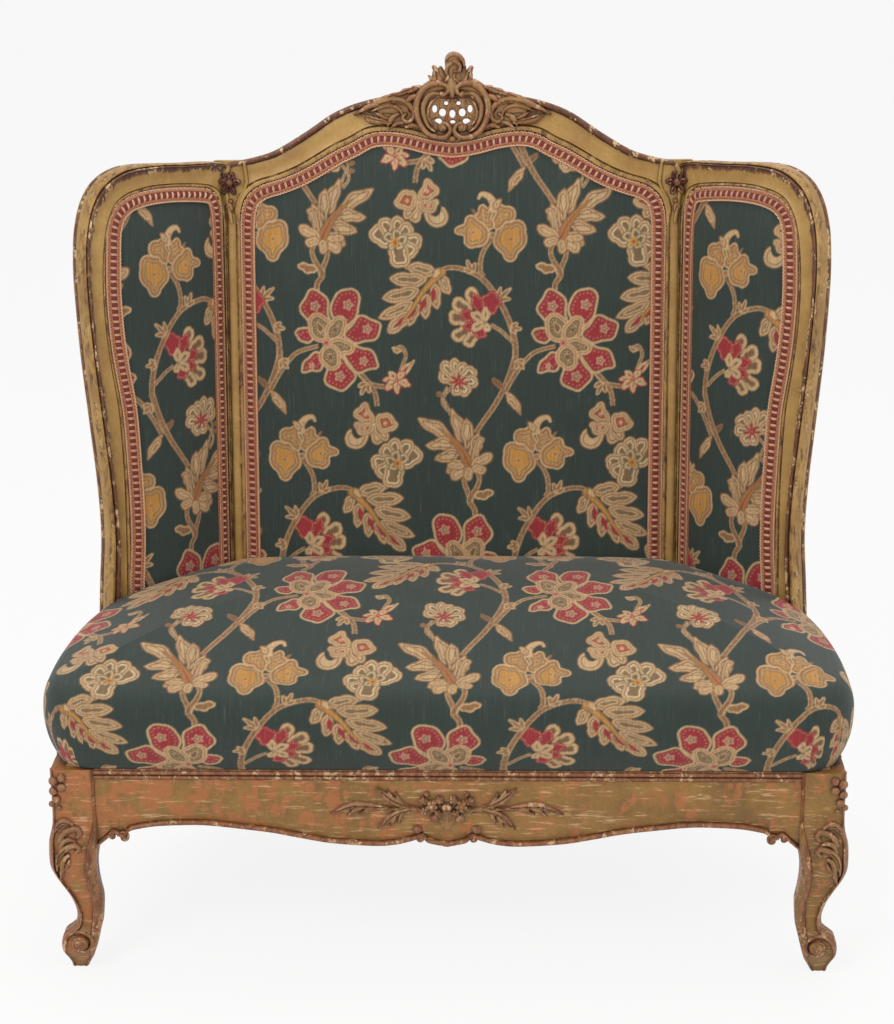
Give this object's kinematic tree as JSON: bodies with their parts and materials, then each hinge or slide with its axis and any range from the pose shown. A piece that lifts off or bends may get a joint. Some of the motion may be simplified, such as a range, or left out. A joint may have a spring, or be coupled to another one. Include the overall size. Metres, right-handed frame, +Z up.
{
  "type": "winged settee",
  "caption": "High-backed settee with carved gilt frame, forward-angled upholstered wings, fixed sprung seat, cabriole front legs and floral woven cover edged with braid.",
  "frame": {"origin": "centre of the bounding box at floor level", "axes": "+X to the right of the front view, +Y to the back, +Z up"},
  "size_m": [1.1454, 0.6464, 1.2341],
  "materials": {
    "gilt_wood": "satin",
    "seat_rail_gilt": "satin",
    "carved_gilt": "satin",
    "rosette_red": "satin",
    "beech": "matte",
    "floral_cloth": "matte",
    "gimp_braid": "matte",
    "plain_green_cloth": "matte",
    "jute": "matte",
    "black_cloth": "matte",
    "spring_steel": "satin",
    "screw_steel": "satin",
    "tack_steel": "satin"
  },
  "bodies": {
    "root": {"back_bottom_rail": "beech", "back_gimp": "gimp_braid", "back_pad": "floral_cloth", "back_post_left": "gilt_wood", "back_post_right": "gilt_wood", "block_screws": "screw_steel", "canted_rail_left": "seat_rail_gilt", "canted_rail_right": "seat_rail_gilt", "cover_tacks": "tack_steel", "crest_cartouche": "carved_gilt", "crest_finial": "carved_gilt", "crest_foliage_left": "carved_gilt", "crest_foliage_right": "carved_gilt", "crest_rail": "gilt_wood", "drop_bud_left": "rosette_red", "drop_bud_right": "rosette_red", "dust_cover": "black_cloth", "front_corner_block_left": "beech", "front_corner_block_right": "beech", "front_leg_left": "seat_rail_gilt", "front_leg_right": "seat_rail_gilt", "front_rail": "seat_rail_gilt", "front_rail_carving": "carved_gilt", "knee_acanthus_left": "carved_gilt", "knee_acanthus_right": "carved_gilt", "knee_cluster_left": "carved_gilt", "knee_cluster_right": "carved_gilt", "outside_back": "plain_green_cloth", "outside_wing_left": "plain_green_cloth", "outside_wing_right": "plain_green_cloth", "rear_corner_block_left": "beech", "rear_corner_block_right": "beech", "rear_rail": "seat_rail_gilt", "rosette_left": "rosette_red", "rosette_right": "rosette_red", "seat_pad": "floral_cloth", "seat_springs": "spring_steel", "side_rail_left": "seat_rail_gilt", "side_rail_right": "seat_rail_gilt", "spring_canvas": "jute", "webbing_across": "jute", "webbing_along": "jute", "webbing_batten": "beech", "wing_bottom_rail_left": "beech", "wing_bottom_rail_right": "beech", "wing_gimp_left": "gimp_braid", "wing_gimp_right": "gimp_braid", "wing_pad_left": "floral_cloth", "wing_pad_right": "floral_cloth", "wing_stile_left": "gilt_wood", "wing_stile_right": "gilt_wood", "wing_top_rail_left": "gilt_wood", "wing_top_rail_right": "gilt_wood"}
  },
  "joints": []
}
